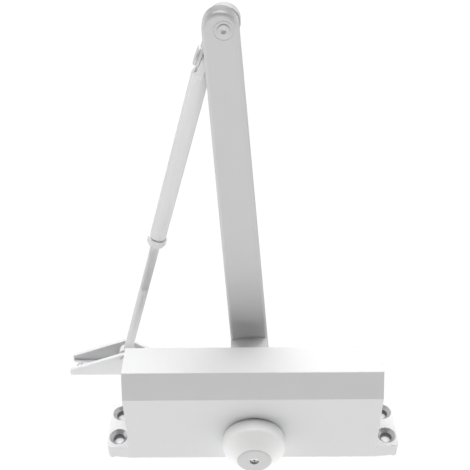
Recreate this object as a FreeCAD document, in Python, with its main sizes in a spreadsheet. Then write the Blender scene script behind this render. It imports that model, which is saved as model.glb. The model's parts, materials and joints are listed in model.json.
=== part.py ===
"""Door closer with a rack and pinion, a folding arm and a fixing shoe, in millimetres.

The closer lies on its mounting face, which is the plane z = 0. x runs along the body, y along the
pinion, from the cap side to the arm side, and z away from the door. The origin is the centre of
the four fixing holes.
"""

import FreeCAD, Part
import math
import os

import Sketcher
from FreeCAD import Placement, Rotation, Vector

SIZES = {
    # body casting
    "body_length": 157.0,
    "body_width": 37.3,
    "body_height": 71.2,
    "bevel_start": 56.3,
    "top_width": 21.0,
    "edge_round": 0.8,
    "foot_round": 1.2,
    "lug_span": 186.0,
    "lug_thick": 10.8,
    "lug_corner": 2.8,
    "lug_taper": 1.2,
    "fixing_pitch_x": 172.4,
    "fixing_pitch_y": 19.0,
    "fixing_hole": 7.0,
    "sink_depth": 2.5,
    # cylinder, end plugs and pinion chamber
    "bore_radius": 14.5,
    "bore_height": 38.0,
    "plug_radius": 15.5,
    "plug_depth": 11.0,
    "plug_gap": 0.1,
    "chamber_radius": 9.0,
    "bearing_radius": 11.5,
    "bearing_depth": 5.5,
    "spindle_x": 0.8,
    "spindle_z": 20.2,
    # regulating valves in the end of the casting
    "valve_spread": 13.0,
    "valve_height": 61.5,
    "valve_radius": 3.0,
    "valve_depth": 24.0,
    "passage_radius": 1.5,
    "port_reach": 61.0,
    # pinion and rack
    "tooth_module": 1.0,
    "tooth_count": 14.0,
    "tooth_slack": 0.18,
    "gear_width": 20.0,
    "journal_radius": 7.0,
    "running_gap": 0.05,
    "square_flats": 9.8,
    "arm_shoulder": 20.4,
    "square_end": 30.0,
    "cap_shoulder": 19.6,
    "cap_square_end": 27.6,
    # piston, measured at rest
    "piston_left": -18.0,
    "piston_right": 40.0,
    "rack_left": -8.6,
    "rack_right": 31.0,
    "piston_gap": 0.06,
    # main spring
    "spring_radius": 11.4,
    "spring_wire": 3.6,
    "spring_turns": 4.5,
    "seat_thick": 2.0,
    # pinion cap
    "cap_radius": 19.2,
    "cap_rim": 10.1,
    "cap_length": 17.1,
    "cap_boss": 10.3,
    "cap_wall": 2.0,
    "cap_gap": 0.4,
    # main arm
    "arm_length": 248.1,
    "arm_lean": 3.71,
    "rivet_lean": 3.33,
    "arm_front": 30.5,
    "arm_depth": 9.6,
    "arm_sheet": 2.5,
    "arm_root_radius": 12.4,
    "arm_end_radius": 9.2,
    "arm_bend": 2.2,
    "hub_front": 20.5,
    "hub_top_radius": 40.0,
    # elbow
    "rivet_radius": 2.95,
    "knuckle_reach": 23.4,
    "knuckle_swing": 26.3,
    "fork_lean": 21.0,
    "fork_y": 45.5,
    "fork_radius": 5.3,
    "fork_width": 7.5,
    "fork_gap": 4.2,
    "cross_radius": 2.0,
    "knuckle_radius": 8.3,
    # forearm
    "forearm_length": 241.2,
    "forearm_lean": 15.5,
    "forearm_tilt": 3.64,
    "tube_radius": 5.0,
    "tube_bore": 3.05,
    "tube_end": 126.6,
    "tongue_thick": 3.8,
    "rod_radius": 3.0,
    "rod_start": 72.0,
    "nut_flats": 11.0,
    "nut_thick": 5.0,
    "eye_radius": 5.7,
    "eye_thick": 6.4,
    # shoe
    "shoe_left": 41.0,
    "shoe_right": 14.3,
    "shoe_width": 16.2,
    "shoe_sheet": 2.3,
    "shoe_rise": 21.35,
    "shoe_fall": 36.0,
    "shoe_nose": 6.2,
    "shoe_pin_height": 14.94,
    "shoe_pin_radius": 2.5,
    "shoe_hole_near": 16.5,
    "shoe_hole_pitch": 19.0,
    "shoe_hole": 5.0,
}

TO_X = Rotation(Vector(0, 1, 0), 90)
TO_LEFT = Rotation(Vector(0, 1, 0), -90)
TO_REAR = Rotation(Vector(1, 0, 0), -90)
TO_FRONT = Rotation(Vector(1, 0, 0), 90)
UPRIGHT = Rotation()

doc = FreeCAD.newDocument("door_closer")
sheet = doc.addObject("Spreadsheet::Sheet", "Sizes")
for row, (alias, value) in enumerate(SIZES.items(), start=1):
    sheet.set(f"A{row}", alias)
    sheet.set(f"B{row}", str(value))
    sheet.setAlias(f"B{row}", alias)
doc.recompute()

finished = []


def sized(text):
    """A size expression: every word that names a cell is looked up in the sheet."""
    out = ""
    word = ""
    for letter in text + " ":
        if letter.isalnum() or letter == "_":
            word += letter
            continue
        out += f"Sizes.{word}" if word in SIZES else word
        out += letter
        word = ""
    return out.strip()


def number(text):
    """The present value of a size expression."""
    found = sheet.evalExpression(sized(str(text)))
    return float(getattr(found, "Value", found))


def bind(item, **sizes):
    """Bind properties to size expressions; a double underscore stands for a dot."""
    for name, text in sizes.items():
        item.setExpression(name.replace("__", "."), sized(str(text)))
    return item


def place(item, at=(0, 0, 0), turn=UPRIGHT):
    """Turn an object and bind its position to three expressions."""
    item.Placement = Placement(Vector(*[number(text) for text in at]), turn)
    for axis, text in zip("xyz", at):
        item.setExpression(f"Placement.Base.{axis}", sized(str(text)))
    return item


def finish(item, name):
    """Mark an object as a sub-part of the closer, under the name that its file takes."""
    item.Label = name
    finished.append(item)
    return item


# Part primitives and booleans


def cylinder(name, radius, height, at=(0, 0, 0), turn=UPRIGHT):
    item = doc.addObject("Part::Cylinder", name)
    bind(item, Radius=radius, Height=height)
    return place(item, at, turn)


def cone(name, radius, top, height, at=(0, 0, 0), turn=UPRIGHT):
    item = doc.addObject("Part::Cone", name)
    bind(item, Radius1=radius, Radius2=top, Height=height)
    return place(item, at, turn)


def box(name, length, width, height, at=(0, 0, 0), turn=UPRIGHT):
    item = doc.addObject("Part::Box", name)
    bind(item, Length=length, Width=width, Height=height)
    return place(item, at, turn)


def torus(name, radius, wire, at=(0, 0, 0), turn=UPRIGHT):
    item = doc.addObject("Part::Torus", name)
    bind(item, Radius1=radius, Radius2=wire)
    return place(item, at, turn)


def hexagon(name, flats, height, at=(0, 0, 0), turn=UPRIGHT):
    item = doc.addObject("Part::Prism", name)
    item.Polygon = 6
    bind(item, Circumradius=f"({flats}) / sqrt(3)", Height=height)
    return place(item, at, turn)


def joined(name, *items):
    item = doc.addObject("Part::MultiFuse", name)
    item.Shapes = list(items)
    item.Refine = True
    return item


def cut(name, base, *tools):
    """The base with each tool taken away in turn."""
    for index, tool in enumerate(tools, start=1):
        last = index == len(tools)
        item = doc.addObject("Part::Cut", name if last else f"{name}_step_{index}")
        item.Base = base
        item.Tool = tool
        base = item
    return base


# PartDesign features


def sketch(body, name, role, lift="0", twist=UPRIGHT):
    """An empty sketch on one of the body's origin planes, raised along the plane's normal and
    turned on it."""
    item = body.newObject("Sketcher::SketchObject", name)
    plane = next(part for part in body.Origin.OriginFeatures if part.Role == role)
    item.AttachmentSupport = [(plane, "")]
    item.MapMode = "FlatFace"
    item.AttachmentOffset = Placement(Vector(), twist)
    item.setExpression("AttachmentOffset.Base.z", sized(lift))
    return item


def hold(item, geometry, point, x, y):
    """Fix one point of a sketch at two expressions from the sketch's origin."""
    for kind, text in (("DistanceX", x), ("DistanceY", y)):
        made = Sketcher.Constraint(kind, -1, 1, geometry, point, number(text))
        index = item.addConstraint(made)
        item.setExpression(f"Constraints[{index}]", sized(str(text)))


def circle(item, x, y, radius):
    """A circle held at its centre and by its radius."""
    shape = Part.Circle(Vector(number(x), number(y), 0), Vector(0, 0, 1), number(radius))
    index = item.addGeometry(shape)
    hold(item, index, 3, x, y)
    size = item.addConstraint(Sketcher.Constraint("Radius", index, number(radius)))
    item.setExpression(f"Constraints[{size}]", sized(str(radius)))


def outline(item, corners):
    """A closed outline. A corner is (x, y), or (x, y, radius) where an arc leads to the next
    corner: its centre is on the left, or on the right where the radius starts with a minus."""
    spots = [Vector(number(corner[0]), number(corner[1]), 0) for corner in corners]
    ends = []
    for index, corner in enumerate(corners):
        start = spots[index]
        stop = spots[(index + 1) % len(spots)]
        if len(corner) == 2:
            made = item.addGeometry(Part.LineSegment(start, stop))
            ends.append((made, 1, 2))
            continue
        right = str(corner[2]).startswith("-")
        text = str(corner[2]).lstrip("-")
        radius = number(text)
        first, last = (stop, start) if right else (start, stop)
        chord = last - first
        rise = math.sqrt(max(radius**2 - chord.Length**2 / 4, 0.0))
        side = Vector(-chord.y, chord.x, 0).normalize()
        centre = (first + last) * 0.5 + side * rise
        angles = [math.atan2(p.y - centre.y, p.x - centre.x) for p in (first, last)]
        whole = Part.Circle(centre, Vector(0, 0, 1), radius)
        made = item.addGeometry(Part.ArcOfCircle(whole, *angles))
        size = item.addConstraint(Sketcher.Constraint("Radius", made, radius))
        item.setExpression(f"Constraints[{size}]", sized(text))
        ends.append((made, 2, 1) if right else (made, 1, 2))
    for index, corner in enumerate(corners):
        made, start, _ = ends[index]
        before, _, stop = ends[index - 1]
        item.addConstraint(Sketcher.Constraint("Coincident", before, stop, made, start))
        hold(item, made, start, corner[0], corner[1])


def pad(body, name, profile, length, symmetric=False, reverse=False):
    item = body.newObject("PartDesign::Pad", name)
    item.Profile = profile
    item.SideType = "Symmetric" if symmetric else "One side"
    item.Reversed = reverse
    return bind(item, Length=length)


def pocket(body, name, profile, length, symmetric=False, reverse=False):
    """A pocket that has to take something away: one that points out of the solid is an error."""
    doc.recompute()
    before = body.Shape.Volume
    item = body.newObject("PartDesign::Pocket", name)
    item.Profile = profile
    item.SideType = "Symmetric" if symmetric else "One side"
    item.Reversed = reverse
    bind(item, Length=length)
    doc.recompute()
    if body.Shape.Volume > before - 0.01:
        raise RuntimeError(f"{name} cuts nothing")
    return item


def revolve(body, name, profile):
    item = body.newObject("PartDesign::Revolution", name)
    item.Profile = profile
    item.ReferenceAxis = (profile, ["V_Axis"])
    item.Angle = 360
    return item


def round_edges(body, name, radius, wanted):
    """Fillet the edges of the body's last feature for which wanted(edge) is true."""
    doc.recompute()
    base = body.Tip
    names = [f"Edge{n}" for n, edge in enumerate(base.Shape.Edges, start=1) if wanted(edge)]
    item = body.newObject("PartDesign::Fillet", name)
    item.Base = (base, names)
    bind(item, Radius=radius)
    return item


def runs_along(edge, axis):
    """Whether an edge is straight and parallel to one axis of its body."""
    if edge.Curve.TypeId != "Part::GeomLine":
        return False
    return abs(abs(edge.tangentAt(edge.FirstParameter).dot(axis)) - 1) < 1e-6


def is_circle(edge):
    return edge.Curve.TypeId == "Part::GeomCircle"


def spot(edge):
    """The middle point of an edge's bounding box."""
    return edge.BoundBox.Center


# Body casting, with its cylinder, pinion chamber, oil passages and fixing lugs


def body_casting():
    body = doc.addObject("PartDesign::Body", "body_casting")
    section = sketch(body, "casting_section", "YZ_Plane")
    outline(
        section,
        [
            ("-body_width / 2", "0"),
            ("body_width / 2", "0"),
            ("body_width / 2", "bevel_start"),
            ("top_width / 2", "body_height"),
            ("-top_width / 2", "body_height"),
            ("-body_width / 2", "bevel_start"),
        ],
    )
    pad(body, "casting_block", section, "body_length", symmetric=True)
    along = Vector(1, 0, 0)
    round_edges(
        body, "upper_edges", "edge_round",
        lambda edge: runs_along(edge, along) and spot(edge).z > 1,
    )
    lugs = sketch(body, "lug_plan", "XY_Plane")
    across, tip = "lug_span / 2", "(body_width / 2 - lug_taper)"
    half, wide = "body_length / 2", "body_width / 2"
    outline(
        lugs,
        [
            (f"-{half}", f"-{wide}"),
            (half, f"-{wide}"),
            (f"{across} - lug_corner", f"-{tip}", "lug_corner"),
            (across, f"-{tip} + lug_corner"),
            (across, f"{tip} - lug_corner", "lug_corner"),
            (f"{across} - lug_corner", tip),
            (half, wide),
            (f"-{half}", wide),
            (f"-{across} + lug_corner", tip, "lug_corner"),
            (f"-{across}", f"{tip} - lug_corner"),
            (f"-{across}", f"-{tip} + lug_corner", "lug_corner"),
            (f"-{across} + lug_corner", f"-{tip}"),
        ],
    )
    pad(body, "lug_plate", lugs, "lug_thick")
    foot = number("body_width / 2 - lug_taper") - 0.01
    round_edges(
        body, "foot_edges", "foot_round",
        lambda edge: edge.BoundBox.ZMax < 0.01 and abs(spot(edge).y) > foot,
    )
    cylinder_bores(body)
    pinion_bores(body)
    oil_bores(body)
    fixing_holes(body)
    return finish(body, "body_casting")


def cylinder_bores(body):
    """The piston's bore runs from end to end and is wider where the end plugs screw in."""
    bore = sketch(body, "bore_circle", "YZ_Plane")
    circle(bore, "0", "bore_height", "bore_radius")
    pocket(body, "bore", bore, "body_length + 2", symmetric=True)
    for side, sign in (("left", "-"), ("right", "")):
        mouth = sketch(body, f"{side}_mouth", "YZ_Plane", f"{sign}body_length / 2")
        circle(mouth, "0", "bore_height", "plug_radius")
        pocket(body, f"{side}_seat", mouth, "plug_depth", reverse=side == "left")


def pinion_bores(body):
    """The pinion's chamber crosses the casting and is wider at each side for a bearing."""
    chamber = sketch(body, "chamber_circle", "XZ_Plane")
    circle(chamber, "spindle_x", "spindle_z", "chamber_radius")
    pocket(body, "chamber", chamber, "body_width + 2", symmetric=True)
    for side, sign in (("rear", "-"), ("front", "")):
        mouth = sketch(body, f"{side}_bearing_mouth", "XZ_Plane", f"{sign}body_width / 2")
        circle(mouth, "spindle_x", "spindle_z", "bearing_radius")
        pocket(body, f"{side}_bearing_seat", mouth, "bearing_depth", reverse=side == "rear")


def oil_bores(body):
    """Two stepped passages from the right-hand end, each with ports down into the cylinder."""
    half = "body_length / 2"
    for side, sign, reach in (("closing", "-", "body_length - 24"), ("latching", "", "60")):
        across = f"{sign}valve_spread / 2"
        mouth = sketch(body, f"{side}_mouth", "YZ_Plane", half)
        circle(mouth, across, "valve_height", "valve_radius + 0.08")
        pocket(body, f"{side}_valve_bore", mouth, "valve_depth")
        passage = sketch(body, f"{side}_passage_mouth", "YZ_Plane", f"{half} - valve_depth + 1")
        circle(passage, across, "valve_height", "passage_radius")
        pocket(body, f"{side}_passage", passage, f"{reach} - valve_depth")
        ports = sketch(body, f"{side}_ports", "XY_Plane", "bore_height")
        for place_x in (f"{half} - 19", f"{half} - {reach} + 3"):
            circle(ports, place_x, across, "passage_radius")
        pocket(body, f"{side}_port_holes", ports, "port_reach - bore_height", reverse=True)


def fixing_holes(body):
    """Four holes through the lugs, countersunk from above."""
    holes = sketch(body, "fixing_circles", "XY_Plane", "lug_thick")
    for side in ("-", ""):
        for row in ("-", ""):
            centre = (f"{side}fixing_pitch_x / 2", f"{row}fixing_pitch_y / 2")
            circle(holes, *centre, "fixing_hole / 2")
    pocket(body, "fixing_holes", holes, "lug_thick + 1")
    doc.recompute()
    base = body.Tip
    top = number("lug_thick")
    hole = number("fixing_hole / 2")
    names = []
    for index, edge in enumerate(base.Shape.Edges, start=1):
        if is_circle(edge) and abs(spot(edge).z - top) < 0.01 and abs(edge.Curve.Radius - hole) < 0.01:
            names.append(f"Edge{index}")
    sink = body.newObject("PartDesign::Chamfer", "countersinks")
    sink.Base = (base, names)
    bind(sink, Size="sink_depth")


# What closes the casting: end plugs, bearings and their seals


def end_plug(side, sign, turn):
    """A threaded plug with a hexagon socket and a groove for its sealing ring."""
    inner = f"{sign}(body_length / 2 - 0.3 - plug_depth + plug_gap * 4)"
    depth = "plug_depth - 4 * plug_gap"
    block = cylinder(f"{side}_plug_block", "plug_radius - plug_gap", depth, (inner, "0", "bore_height"), turn)
    socket = hexagon(
        f"{side}_plug_socket", "12", "6.5", (f"{sign}(body_length / 2 - 6)", "0", "bore_height"), turn
    )
    groove_at = (f"{sign}(body_length / 2 - 8.4)", "0", "bore_height")
    groove = cylinder(f"{side}_plug_groove_outer", "plug_radius + 1", "2.2", groove_at, turn)
    core = cylinder(f"{side}_plug_groove_core", "plug_radius - 1.9", "2.2", groove_at, turn)
    ring = cut(f"{side}_plug_groove", groove, core)
    finish(cut(f"{side}_end_plug", block, socket, ring), f"end_plug_{side}")
    seal_at = (f"{sign}(body_length / 2 - 8.4 + 1.1)", "0", "bore_height")
    seal = torus(f"{side}_plug_seal", "plug_radius - 1", "0.85", seal_at, turn)
    finish(seal, f"end_seal_{side}")


def spindle_bearing(side, sign, turn):
    """A threaded bearing ring with two spanner holes, recessed outside for the shaft seal."""
    def at(depth):
        return ("spindle_x", f"{sign}(body_width / 2 - ({depth}))", "spindle_z")

    ring = cylinder(f"{side}_bearing_ring", "bearing_radius - 0.08", "bearing_depth - 0.35",
                    at("bearing_depth - 0.15"), turn)
    hole = cylinder(f"{side}_bearing_hole", "journal_radius + running_gap", "bearing_depth + 2",
                    at("bearing_depth + 1"), turn)
    recess = cylinder(f"{side}_bearing_recess", "journal_radius + 2.4", "3", at("2.6"), turn)
    pins = []
    for name, shift in (("low", "-"), ("high", "+")):
        spanner = (f"spindle_x {shift} (bearing_radius - 1.3)", f"{sign}(body_width / 2 - 2)", "spindle_z")
        pins.append(cylinder(f"{side}_spanner_{name}", "0.6", "3", spanner, turn))
    finish(cut(f"{side}_bearing", ring, hole, recess, *pins), f"bearing_{side}")
    lip = cylinder(f"{side}_seal_ring", "journal_radius + 2.3", "2.1", at("2.55"), turn)
    gap = cylinder(f"{side}_seal_hole", "journal_radius + running_gap", "4", at("3.5"), turn)
    finish(cut(f"{side}_shaft_seal", lip, gap), f"shaft_seal_{side}")


# Pinion


def tooth_gap(item, start):
    """The gap between two pinion teeth, open past the tips; start is its direction in degrees."""
    pitch_radius = "tooth_module * tooth_count / 2"
    root = f"({pitch_radius} - 1.3 * tooth_module)"
    mouth = f"({pitch_radius} + 1.6 * tooth_module)"
    narrow = "(pi * tooth_module / 4 + tooth_slack - 0.42 * tooth_module)"
    wide = "(pi * tooth_module / 4 + tooth_slack + 0.78 * tooth_module)"
    corners = [(f"-{narrow}", root), (narrow, root), (wide, mouth), (f"-{wide}", mouth)]
    lean = f"({start})"
    turned = []
    for across, out in corners:
        x = f"{across} * cos({lean}) - {out} * sin({lean})"
        y = f"{across} * sin({lean}) + {out} * cos({lean})"
        turned.append((x, y))
    outline(item, turned)


def square(item, flats, lean):
    """A square about the sketch's origin, turned by lean degrees."""
    corners = []
    for quarter in range(4):
        angle = f"({45 + 90 * quarter} + ({lean}))"
        reach = f"({flats}) / sqrt(2)"
        corners.append((f"{reach} * cos({angle})", f"{reach} * sin({angle})"))
    outline(item, corners)


def pinion_shaft():
    """Turned shaft, its local z along the pinion: gear, two journals and a square at each end."""
    body = doc.addObject("PartDesign::Body", "pinion_shaft")
    tip = "tooth_module * (tooth_count + 2) / 2"
    turned = sketch(body, "shaft_half", "XZ_Plane")
    outline(
        turned,
        [
            ("0", "-cap_shoulder"),
            ("journal_radius", "-cap_shoulder"),
            ("journal_radius", "-gear_width / 2"),
            (tip, "-gear_width / 2"),
            (tip, "gear_width / 2"),
            ("journal_radius", "gear_width / 2"),
            ("journal_radius", "arm_shoulder"),
            ("0", "arm_shoulder"),
        ],
    )
    revolve(body, "shaft_blank", turned)
    ends = (("arm", "arm_shoulder", "square_end", False), ("cap", "-cap_shoulder", "cap_square_end", True))
    for side, start, end, reverse in ends:
        flat = sketch(body, f"{side}_square", "XY_Plane", start)
        square(flat, "square_flats", "-arm_lean")
        pad(body, f"{side}_square_end", flat, f"{end} - {start.lstrip('-')}", reverse=reverse)
    gap = sketch(body, "gap_shape", "XY_Plane")
    tooth_gap(gap, "180")
    doc.recompute()
    first = pocket(body, "tooth_gap", gap, "gear_width", symmetric=True)
    teeth = body.newObject("PartDesign::PolarPattern", "teeth")
    teeth.Originals = [first]
    teeth.Axis = (gap, ["N_Axis"])
    teeth.Angle = 360
    bind(teeth, Occurrences="tooth_count")
    body.Tip = teeth
    for side, lift, reverse in (("arm", "square_end", False), ("cap", "-cap_square_end", True)):
        hole = sketch(body, f"{side}_tapping", "XY_Plane", lift)
        circle(hole, "0", "0", "3.0" if side == "arm" else "1.55")
        pocket(body, f"{side}_tapped_hole", hole, "13", reverse=reverse)
    place(body, ("spindle_x", "0", "spindle_z"), TO_REAR)
    return finish(body, "pinion_shaft")


def pinion_cap():
    """Moulded cap over the free end of the pinion, its local z pointing away from the casting."""
    body = doc.addObject("PartDesign::Body", "pinion_cap")
    shell = sketch(body, "cap_half", "XZ_Plane")
    outline(
        shell,
        [
            ("cap_radius - cap_wall", "0"),
            ("cap_radius - 0.5", "0", "0.5"),
            ("cap_radius", "0.5"),
            ("cap_radius", "cap_rim - 2.6", "3.2"),
            ("cap_radius - 1.9", "cap_rim - 0.1", "-22"),
            ("cap_boss + 0.5", "cap_length - 1.1", "1.5"),
            ("cap_boss - 0.7", "cap_length"),
            ("2.8", "cap_length"),
            ("2.8", "cap_length - 2.6"),
            ("1.65", "cap_length - 2.6"),
            ("1.65", "cap_length - 5"),
            ("cap_boss - 0.6", "cap_length - 5"),
            ("cap_boss - 0.6", "2.2"),
            ("cap_boss + 0.8", "2.2"),
            ("cap_boss + 0.8", "cap_length - 6.4"),
            ("cap_radius - cap_wall", "cap_rim - 3"),
        ],
    )
    revolve(body, "cap_shell", shell)
    post = sketch(body, "post_circle", "XY_Plane", "2.2")
    circle(post, "0", "0", "cap_boss - 0.3")
    pad(body, "cap_post", post, "cap_square_end - body_width / 2 - cap_gap + 0.2 - 2.2")
    socket = sketch(body, "socket_square", "XY_Plane", "2")
    square(socket, "square_flats + 0.14", "arm_lean")
    pocket(body, "socket", socket, "cap_square_end - body_width / 2 - cap_gap + 0.5 - 2", reverse=True)
    place(body, ("spindle_x", "-(body_width / 2 + cap_gap)", "spindle_z"), TO_FRONT)
    return finish(body, "pinion_cap")


def cap_screw():
    """Cross-head screw sunk in the end of the cap."""
    face = "-(body_width / 2 + cap_gap + cap_length)"
    head = cylinder("cap_screw_head", "2.6", "1.9", ("spindle_x", f"{face} + 2.5", "spindle_z"), TO_FRONT)
    shank = cylinder("cap_screw_shank", "1.5", "13", ("spindle_x", f"{face} + 15", "spindle_z"), TO_FRONT)
    slots = []
    for name, wide, high in (("across", 1.7, 0.35), ("upright", 0.35, 1.7)):
        corner = (f"spindle_x - {wide}", f"{face} + 0.55", f"spindle_z - {high}")
        slots.append(box(f"cap_screw_{name}", f"2 * {wide}", "1.3", f"2 * {high}", corner))
    whole = joined("cap_screw_solid", head, shank)
    return finish(cut("cap_screw_cut", whole, *slots), "cap_screw")


# Piston and spring


def piston():
    """Piston, its local z along the cylinder and its local x towards the door."""
    body = doc.addObject("PartDesign::Body", "piston")
    end = sketch(body, "piston_circle", "XY_Plane", "piston_left")
    circle(end, "0", "0", "bore_radius - piston_gap")
    pad(body, "piston_blank", end, "piston_right - piston_left")
    pitch_line = "(bore_height - spindle_z - tooth_module * tooth_count / 2)"
    flat = sketch(body, "rack_clearance", "XZ_Plane")
    outline(
        flat,
        [
            (f"{pitch_line} + tooth_module * 0.9", "rack_left"),
            ("bore_radius + 1", "rack_left"),
            ("bore_radius + 1", "rack_right"),
            (f"{pitch_line} + tooth_module * 0.9", "rack_right"),
        ],
    )
    pocket(body, "rack_flat", flat, "2 * bore_radius + 2", symmetric=True)
    pitch = "pi * tooth_module"
    gap = sketch(body, "rack_gap_shape", "XZ_Plane")
    root = f"{pitch_line} - tooth_module * 1.35"
    mouth = f"{pitch_line} + tooth_module * 1.1"
    first = f"(spindle_x - 2.5 * {pitch})"
    narrow = "(pi * tooth_module / 4 + tooth_slack - tooth_module * 1.35 * tan(20))"
    wide = "(pi * tooth_module / 4 + tooth_slack + tooth_module * 1.1 * tan(20))"
    outline(
        gap,
        [
            (root, f"{first} - {narrow}"),
            (mouth, f"{first} - {wide}"),
            (mouth, f"{first} + {wide}"),
            (root, f"{first} + {narrow}"),
        ],
    )
    cut_one = pocket(body, "rack_gap", gap, "2 * bore_radius + 2", symmetric=True)
    rack = body.newObject("PartDesign::LinearPattern", "rack")
    rack.Originals = [cut_one]
    rack.Direction = (gap, ["V_Axis"])
    bind(rack, Length=f"11 * {pitch}")
    rack.Occurrences = 12
    body.Tip = rack
    groove = sketch(body, "ring_groove_shape", "XY_Plane", "piston_right - 4.2")
    circle(groove, "0", "0", "bore_radius + 1")
    circle(groove, "0", "0", "bore_radius - 1.8")
    pocket(body, "ring_groove", groove, "2.6")
    valve = sketch(body, "check_bore_circle", "XY_Plane", "piston_right")
    circle(valve, "-5", "0", "4.05")
    pocket(body, "check_bore", valve, "8")
    drain = sketch(body, "drain_circle", "XY_Plane", "piston_right")
    circle(drain, "-5", "0", "1.5")
    pocket(body, "drain", drain, "piston_right - piston_left + 1")
    place(body, ("0", "0", "bore_height"), TO_X)
    return finish(body, "piston")


def piston_fittings():
    """Sealing ring in the piston's groove, and the one-way valve pressed into its right end."""
    at = ("piston_right - 6.7", "0", "bore_height")
    outer = cylinder("piston_ring_outer", "bore_radius - 0.04", "2.4", at, TO_X)
    inner = cylinder("piston_ring_inner", "bore_radius - 1.5", "2.4", at, TO_X)
    finish(cut("piston_ring_cut", outer, inner), "piston_ring")
    height = "bore_height + 5"
    seat_at = ("piston_right - 7.9", "0", height)
    block = cylinder("check_block", "4", "7.9", seat_at, TO_X)
    cavity = cylinder("check_cavity", "2.3", "6", ("piston_right - 8.5", "0", height), TO_X)
    orifice = cylinder("check_orifice", "1.2", "10", seat_at, TO_X)
    finish(cut("check_seat_cut", block, cavity, orifice), "check_seat")
    ball = doc.addObject("Part::Sphere", "check_ball_sphere")
    bind(ball, Radius="2")
    finish(place(ball, ("piston_right - 4.7", "0", height)), "check_ball")


def spring():
    """Coil spring between the left end plug's seat and the piston, its ends wound flat."""
    plug_face = "(-body_length / 2 + plug_depth + 0.3)"
    seat_at = (f"{plug_face} + 0.1", "0", "bore_height")
    disc = cylinder("seat_disc", "bore_radius - 0.5", "seat_thick", seat_at, TO_X)
    boss = cylinder("seat_boss", "spring_radius - spring_wire / 2 - 0.4", "seat_thick + 5", seat_at, TO_X)
    hole = cylinder("seat_hole", "4", "seat_thick + 6", seat_at, TO_X)
    finish(cut("spring_seat_cut", joined("seat_solid", disc, boss), hole), "spring_seat")
    first = f"({plug_face} + 0.1 + seat_thick + 0.1 + spring_wire / 2)"
    last = "(piston_left - 0.1 - spring_wire / 2)"
    path = doc.addObject("Part::Helix", "spring_path")
    bind(path, Radius="spring_radius", Height=f"{last} - {first}", Pitch=f"({last} - {first}) / spring_turns")
    wire = doc.addObject("Part::Circle", "spring_section")
    bind(wire, Radius="spring_wire / 2")
    place(wire, ("spring_radius", "0", "0"), TO_FRONT)
    coil = doc.addObject("Part::Sweep", "spring_coil")
    coil.Sections = [wire]
    coil.Spine = (path, ["Edge1"])
    coil.Solid = True
    coil.Frenet = True
    low = torus("spring_low_end", "spring_radius", "spring_wire / 2")
    high = torus("spring_high_end", "spring_radius", "spring_wire / 2", ("0", "0", f"{last} - {first}"))
    whole = joined("spring_whole", coil, low, high)
    place(whole, (first, "0", "bore_height"), TO_X)
    finish(whole, "main_spring")


# Regulating valves


def regulating_valve(side, sign):
    """Slotted needle screw with its sealing ring, turned from the end of the casting."""
    across = f"{sign}valve_spread / 2"

    def at(depth):
        return (f"body_length / 2 - ({depth})", across, "valve_height")

    head = cylinder(f"{side}_head", "valve_radius", "9", at("9.4"), TO_X)
    neck = cylinder(f"{side}_neck", "valve_radius - 1.1", "3", at("12.4"), TO_X)
    stem = cylinder(f"{side}_stem", "valve_radius", "9", at("21.4"), TO_X)
    needle = cone(f"{side}_needle", "0.6", "1.4", "6", at("27.4"), TO_X)
    slot = box(f"{side}_slot", "1.8", "8", "0.9", (at("1.7")[0], f"{across} - 4", "valve_height - 0.45"))
    whole = joined(f"{side}_screw", head, neck, stem, needle)
    finish(cut(f"{side}_valve_cut", whole, slot), f"{side}_valve")
    ring = torus(f"{side}_ring", "valve_radius - 0.5", "0.48", at("10.9"), TO_X)
    finish(ring, f"{side}_valve_seal")


# Main arm


def belt(item, low_radius, high_radius, length):
    """Two arcs about (0, 0) and (0, length), joined by the straight lines that touch both."""
    lean = f"asin(({low_radius} - ({high_radius})) / ({length}))"
    corners = []
    for side, start, end in (("", low_radius, high_radius), ("-", high_radius, low_radius)):
        for radius, base in ((start, "low" if side == "" else "high"), (end, "high" if side == "" else "low")):
            lift = f"({length})" if base == "high" else "0"
            spot_x = f"{side}({radius}) * cos({lean})"
            corners.append([spot_x, f"{lift} + ({radius}) * sin({lean})"])
    corners[1].append(high_radius)
    corners[3].append(low_radius)
    outline(item, [tuple(corner) for corner in corners])


def arm_turn():
    """The arm's local y runs from the pinion to the elbow and its local z to the cap side."""
    return TO_FRONT.multiply(Rotation(Vector(0, 0, 1), number("arm_lean")))


def main_arm():
    """Pressed channel that tapers to a round end, its web towards the cap side."""
    body = doc.addObject("PartDesign::Body", "main_arm")
    plan = sketch(body, "arm_plan", "XY_Plane")
    belt(plan, "arm_root_radius", "arm_end_radius", "arm_length")
    pad(body, "arm_blank", plan, "arm_depth")
    front = number("arm_depth") - 0.01
    round_edges(body, "arm_bends", "arm_bend", lambda edge: spot(edge).z > front)
    hollow = sketch(body, "arm_hollow_plan", "XY_Plane")
    belt(hollow, "arm_root_radius - arm_sheet", "arm_end_radius - arm_sheet", "arm_length")
    pocket(body, "arm_hollow", hollow, "arm_depth - arm_sheet", reverse=True)
    holes = sketch(body, "arm_holes", "XY_Plane")
    circle(holes, "0", "0", "3.2")
    rivet = ("arm_length * sin(arm_lean - rivet_lean)", "arm_length * cos(arm_lean - rivet_lean)")
    circle(holes, *rivet, "rivet_radius + 0.05")
    pocket(body, "arm_drilling", holes, "arm_depth + 1", reverse=True)
    coined = sketch(body, "coined_ring_plan", "XY_Plane", "arm_depth")
    circle(coined, *rivet, "5.1")
    circle(coined, *rivet, "4.7")
    pocket(body, "coined_ring", coined, "0.15")
    place(body, ("spindle_x", "arm_front + arm_depth", "spindle_z"), arm_turn())
    return finish(body, "main_arm")


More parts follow.
